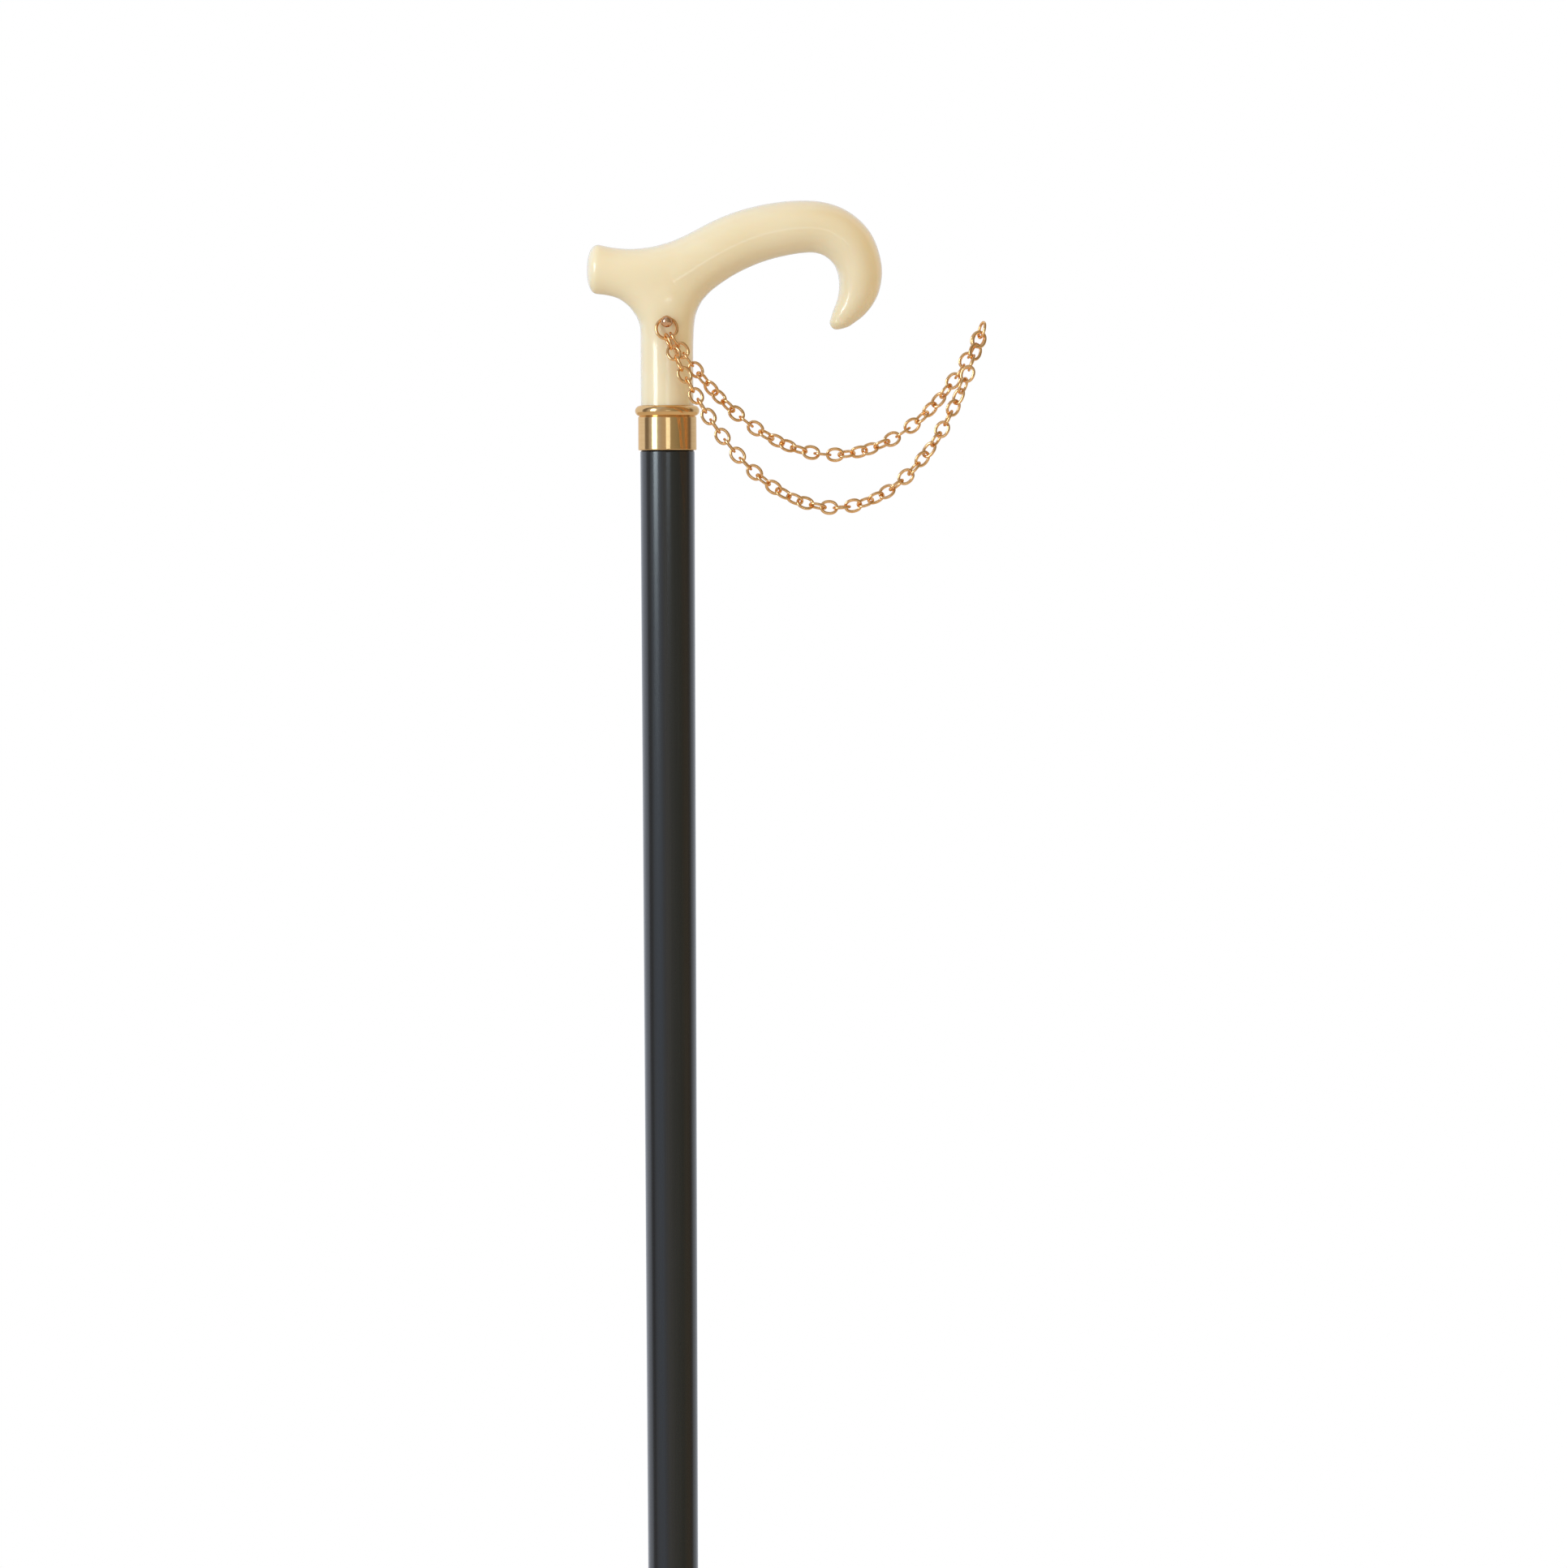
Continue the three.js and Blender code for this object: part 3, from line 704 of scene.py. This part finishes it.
chain = {       # millimetres, and degrees where a name says so or speaks of a roll or twist
    "wire": 1.1,
    "flat": 0.88,
    "width": 5.3,
    "pitch": 4.22,
    "weld": 0.15,
    "gap": 0.3,
    "laneGap": 0.35,
    "farReach": 109.6,
    "farHeight": 24.15,
    "leanDegrees": 4.45,
    "upperHookDegrees": -53,
    "lowerHookDegrees": -94,
    "upperLinks": 34,
    "lowerLinks": 41,
    "openPivot": 38,
    "setback": 1.2,
    "sideStep": 0.95,
    "returnStep": 1.05,
    "nearSettle": 3.5,
    "lowerRoom": -0.55,     # brings the lower strand forward, clear of the upper one
    "farSettle": 9,
    "upperTwistStart": 3,
    "upperTwistPerLink": 12.86,
    "upperTwistLimit": 360,
    "lowerLeadDegrees": -14,
    "lowerTwistStart": 12,
    "lowerTwistTotal": 405,
    "lowerTwistEase": 1.35,
    "returnRolls": [92, 30, 8],
    "endDegrees": 75,
    "endSag": 0.5,
    "endForward": 0.45,
    "endRoll": 114,
    "bodyLinks": 6,
    "ovalness": 2.15,
    "squareness": 2.5,
    "steps": 40,
    "sides": 12,
}

upperLane = -(collar["bead"] + chain["laneGap"] + chain["width"] / 2)
lowerLane = upperLane - chain["width"] - chain["laneGap"]
farHook = Vector((chain["farReach"], upperLane + chain["setback"], chain["farHeight"]))
pairSlip = (chain["weld"] + chain["gap"]) / 4


def hookOnRing(degrees):
    angle, reach = math.radians(degrees), ringInner - chain["gap"]
    return Vector((ringCentre.x + reach * math.cos(angle), 0,
                   ringCentre.z + reach * math.sin(angle) * math.cos(ringLean)))


def hangingStrand(start, links, depthAt):
    lean = Matrix.Rotation(math.radians(chain["leanDegrees"]), 3, "Y")
    chord = lean @ (farHook - start)
    length = links * chain["pitch"]
    stretch = math.sqrt(length ** 2 - chord.z ** 2) / chord.x
    low, high = 1e-6, 10
    for _ in range(60):
        middle = (low + high) / 2
        if math.sinh(middle) / middle < stretch:
            low = middle
        else:
            high = middle
    scale = chord.x / (low + high)
    lowest = chord.x / 2 - scale * math.atanh(chord.z / length)
    startArc = scale * math.sinh(-lowest / scale)

    def contact(index):
        run = startArc + chain["pitch"] * index
        point = Vector((lowest + scale * math.asinh(run / scale), 0,
                        math.hypot(scale, run) - math.hypot(scale, startArc)))
        point = lean.inverted() @ point + start
        point.y = depthAt(index)
        return point

    return contact


def laneDepth(lane, room, endStep):
    def depthAt(index):
        apart = room * math.exp((2 - index) / chain["nearSettle"]) if index > 1 else 0
        return (lane + (-hookDepth - lane) * math.exp(-index / chain["nearSettle"]) + apart
                + endStep * math.exp((index - chain["upperLinks"]) / chain["farSettle"]))
    return depthAt


def returnDepth(index):
    return farHook.y - chain["sideStep"] - chain["returnStep"] * (chain["lowerLinks"] - index)


upperStrand = hangingStrand(hookOnRing(chain["upperHookDegrees"]), chain["upperLinks"],
                            laneDepth(upperLane, 0, chain["setback"] + chain["sideStep"]))
lowerStrand = hangingStrand(hookOnRing(chain["lowerHookDegrees"]), chain["lowerLinks"],
                            laneDepth(lowerLane, chain["lowerRoom"], 0))
returnStrand = hangingStrand(hookOnRing(chain["lowerHookDegrees"]), chain["lowerLinks"], returnDepth)


def upperRoll(link):
    twist = chain["upperTwistPerLink"] * (link - chain["upperTwistStart"])
    return 90 * link + min(max(twist, 0), chain["upperTwistLimit"])


def lowerRoll(link):
    start = chain["lowerTwistStart"]
    share = max(link - start, 0) / (chain["lowerLinks"] - start)
    lead = chain["lowerLeadDegrees"] * max(start - link, 0) / start
    return 90 * link + lead + chain["lowerTwistTotal"] * share ** chain["lowerTwistEase"]


def returnRoll(link):
    return chain["returnRolls"][link - chain["openPivot"] - 1]


def linkRings():
    # One link along +X: an oval of wire with its broad faces pressed a little flat
    halfWire = chain["wire"] / 2
    inner = chain["pitch"] + (chain["gap"] - chain["weld"]) / 2
    halfLength, halfWidth = inner / 2 + halfWire, (chain["width"] - chain["wire"]) / 2

    def rounded(value, power):
        return math.copysign(abs(value) ** (2 / power), value)

    path = []
    for step in range(chain["steps"]):
        turn = 2 * math.pi * step / chain["steps"]
        path.append(Vector((halfLength * rounded(math.cos(turn), chain["ovalness"]), 0,
                            halfWidth * rounded(math.sin(turn), chain["ovalness"]))))
    rings = []
    for step, point in enumerate(path):
        along = (path[(step + 1) % len(path)] - path[step - 1]).normalized()
        outward = Vector((along.z, 0, -along.x))
        loop = []
        for side in range(chain["sides"]):
            angle = 2 * math.pi * side / chain["sides"]
            across = halfWire * math.cos(angle)
            thick = halfWire * chain["flat"] * rounded(math.sin(angle), chain["squareness"])
            loop.append(point + outward * across + Vector((0, thick, 0)))
        rings.append(loop)
    return rings


linkCorners, linkFaces = swept(linkRings(), True)


def placedLink(before, after, rollDegrees, slip):
    along = (after - before).normalized()
    back = Vector((0, 1, 0))
    back = (back - along * back.dot(along)).normalized()
    back = Matrix.Rotation(math.radians(rollDegrees), 3, along) @ back
    side = along.cross(back)
    turn = Matrix((along, back, side)).transposed()
    middle = (before + after) / 2 + along * slip + Vector((0, 0, headHeight))
    return [turn @ corner + middle for corner in linkCorners]


def addLinks(name, placed, body, node):
    corners, faces = [], []
    for link in placed:
        first = len(corners)
        corners += link
        faces += [[first + corner for corner in face] for face in linkFaces]
    piece = addMesh(name, corners, faces, chainGold)
    addSubdivision(piece, 1)
    seatPiece(piece, body, "gold", node)


def addPair(prefix, strand, roll, link, body):
    near = placedLink(strand(link - 1), strand(link), roll(link), -pairSlip)
    far = placedLink(strand(link), strand(link + 1), roll(link + 1), pairSlip)
    node = f"{prefix}_links_{link:02d}_{link + 1:02d}"
    addLinks(f"{prefix}Pair{link:02d}", [near, far], body, node)


def bodyOf(prefix, link):
    return f"{prefix}_{(link - 1) // chain['bodyLinks'] + 1}"


for link in range(1, chain["upperLinks"], 2):
    addPair("upper", upperStrand, upperRoll, link, bodyOf("upper", link))
for link in range(1, chain["openPivot"], 2):
    addPair("lower", lowerStrand, lowerRoll, link, bodyOf("lower", link))

endTurn = math.radians(chain["endDegrees"])
endAlong = Vector((math.cos(endTurn), 0, math.sin(endTurn)))
endHook = farHook - endAlong * (pairSlip + chain["endSag"]) - Vector((0, chain["endForward"], 0))
addLinks("endLink", [placedLink(endHook, endHook + endAlong * chain["pitch"], chain["endRoll"], 0)],
         "upper_6", "end_link")
loose = chain["openPivot"] + 1
addLinks("looseLink", [placedLink(returnStrand(loose - 1), returnStrand(loose), returnRoll(loose), 0)],
         "return", f"lower_link_{loose}")
addPair("lower", returnStrand, returnRoll, loose + 1, "return")
print("chain built")


# Studio: white surround, floor, lamps and the camera

studio = {
    "floorSize": 6.0,
    "floorColour": (0.86, 0.8, 0.71),
    "floorRoughness": 0.8,
    "backdrop": 1.0,
    # Directions round the cane in degrees from the camera's side, left negative, and their light:
    # the room is what gloss and metal show, and the fill lights the rest
    "room": [
        (-180, (0.8, 0.84, 0.92)), (-104, (0.8, 0.86, 0.98)), (-97, (0.21, 0.2, 0.2)),
        (-82, (0.21, 0.2, 0.2)), (-75, (0.46, 0.48, 0.52)), (-66, (0.5, 0.56, 0.66)),
        (-38, (0.52, 0.6, 0.74)), (-24, (0.46, 0.46, 0.47)), (-10, (0.5, 0.47, 0.42)),
        (14, (0.36, 0.35, 0.29)), (54, (0.24, 0.24, 0.18)), (70, (0.33, 0.26, 0.17)),
        (88, (0.3, 0.23, 0.15)), (98, (0.15, 0.12, 0.1)), (104, (0.24, 0.22, 0.2)),
        (113, (0.58, 0.62, 0.68)), (180, (0.8, 0.84, 0.92)),
    ],
    "fill": [
        (-180, (0.44, 0.45, 0.48)), (-90, (0.64, 0.72, 0.87)), (-20, (0.66, 0.7, 0.75)),
        (40, (0.91, 0.8, 0.56)), (110, (0.92, 0.71, 0.41)), (180, (0.44, 0.45, 0.48)),
    ],
}

lamps = [
    # azimuth is measured from the camera's side of the cane, left is negative
    {"name": "leftBox", "azimuth": -52, "height": 1.028, "away": 0.65, "size": (0.21, 0.416),
     "radiance": 8, "colour": (0.8, 0.93, 1), "shines": True},
    {"name": "frontStrip", "azimuth": 3, "height": 0.846, "away": 0.6, "size": (0.17, 0.036),
     "radiance": 2.8, "colour": (0.72, 0.86, 1), "shines": True},
    {"name": "topBox", "azimuth": -25, "height": 2.3, "away": 0.7, "size": (1.4, 1.4),
     "radiance": 0.4, "colour": (1, 0.98, 0.95), "shines": False},
]


def buildWorld():
    world = bpy.data.worlds.new("studioWorld")
    bpy.context.scene.world = world
    world.use_nodes = True
    nodes, links = world.node_tree.nodes, world.node_tree.links
    nodes.clear()
    output = nodes.new("ShaderNodeOutputWorld")
    paths = nodes.new("ShaderNodeLightPath")
    place = nodes.new("ShaderNodeTexCoord")
    split = nodes.new("ShaderNodeSeparateXYZ")
    links.new(place.outputs["Generated"], split.inputs["Vector"])
    facing = nodes.new("ShaderNodeMath")
    facing.operation = "MULTIPLY"
    facing.inputs[1].default_value = -1
    links.new(split.outputs["Y"], facing.inputs[0])
    around = nodes.new("ShaderNodeMath")
    around.operation = "ARCTAN2"
    links.new(split.outputs["X"], around.inputs[0])
    links.new(facing.outputs["Value"], around.inputs[1])
    span = nodes.new("ShaderNodeMapRange")
    span.inputs["From Min"].default_value = -math.pi
    span.inputs["From Max"].default_value = math.pi
    links.new(around.outputs["Value"], span.inputs["Value"])
    lights = []
    for part in ("room", "fill"):
        light = nodes.new("ShaderNodeBackground")
        stops = [((azimuth + 180) / 360, colour) for azimuth, colour in studio[part]]
        links.new(addRamp(nodes, links, span.outputs["Result"], stops), light.inputs["Color"])
        lights.append(light.outputs["Background"])
    white = nodes.new("ShaderNodeBackground")
    white.inputs["Color"].default_value = (1, 1, 1, 1)
    white.inputs["Strength"].default_value = studio["backdrop"]
    glossy = nodes.new("ShaderNodeMixShader")
    links.new(paths.outputs["Is Glossy Ray"], glossy.inputs["Fac"])
    links.new(lights[1], glossy.inputs[1])
    links.new(lights[0], glossy.inputs[2])
    seen = nodes.new("ShaderNodeMixShader")
    links.new(paths.outputs["Is Camera Ray"], seen.inputs["Fac"])
    links.new(glossy.outputs["Shader"], seen.inputs[1])
    links.new(white.outputs["Background"], seen.inputs[2])
    links.new(seen.outputs["Shader"], output.inputs["Surface"])


def buildFloor():
    half = studio["floorSize"] / 2 / mm
    material, nodes, links, shader = startMaterial("floorPaint")
    grain = addNoise(nodes, links, (1, 1, 1), 3, 2)
    pale = studio["floorColour"]
    links.new(addRamp(nodes, links, grain, [(0.3, pale), (0.7, tuple(0.98 * value for value in pale))]),
              shader.inputs["Base Color"])
    shader.inputs["Roughness"].default_value = studio["floorRoughness"]
    corners = [(-half, -half, 0), (half, -half, 0), (half, half, 0), (-half, half, 0)]
    floor = addMesh("studioFloor", corners, [[0, 1, 2, 3]], material)


def buildLamps():
    aim = Vector((0.02, 0, 0.86))
    for lamp in lamps:
        turn = math.radians(lamp["azimuth"])
        spot = Vector((math.sin(turn) * lamp["away"], -math.cos(turn) * lamp["away"], lamp["height"]))
        light = bpy.data.lights.new(lamp["name"], "AREA")
        light.shape = "RECTANGLE"
        light.size, light.size_y = lamp["size"]
        light.color = lamp["colour"]
        light.energy = lamp["radiance"] * math.pi * lamp["size"][0] * lamp["size"][1]
        holder = bpy.data.objects.new(lamp["name"], light)
        bpy.context.scene.collection.objects.link(holder)
        level = aim if lamp["name"] == "topBox" else Vector((aim.x, aim.y, lamp["height"]))
        holder.location = spot
        holder.rotation_euler = (level - spot).to_track_quat("-Z", "Y").to_euler()
        holder.visible_camera = False
        holder.visible_glossy = lamp["shines"]


photo = {
    "width": 1931,
    "height": 1932,
    "mmPerPixel": 0.2836,
    "caneAxisPixel": 822.2,
    "collarTopPixel": 499.6,
    "leanSlope": 0.00513,
    "distance": 12.0,
}


def buildCamera():
    right = photo["width"] / 2 - photo["caneAxisPixel"]
    down = photo["height"] / 2 - photo["collarTopPixel"]
    x = (right - down * photo["leanSlope"]) * photo["mmPerPixel"] * mm
    z = headHeight * mm - (down + right * photo["leanSlope"]) * photo["mmPerPixel"] * mm
    camera = bpy.data.cameras.new("photoCamera")
    camera.sensor_fit = "HORIZONTAL"
    camera.sensor_width = 36
    camera.lens = camera.sensor_width * photo["distance"] / (photo["width"] * photo["mmPerPixel"] * mm)
    camera.clip_end = 50
    holder = bpy.data.objects.new("photoCamera", camera)
    bpy.context.scene.collection.objects.link(holder)
    holder.location = (x, -photo["distance"], z)
    holder.rotation_euler = (math.pi / 2, math.atan(photo["leanSlope"]), 0)
    bpy.context.scene.camera = holder


buildWorld()
buildFloor()
buildLamps()
buildCamera()
bpy.context.scene.view_settings.view_transform = "Standard"
print("studio ready")

bpy.context.view_layer.update()
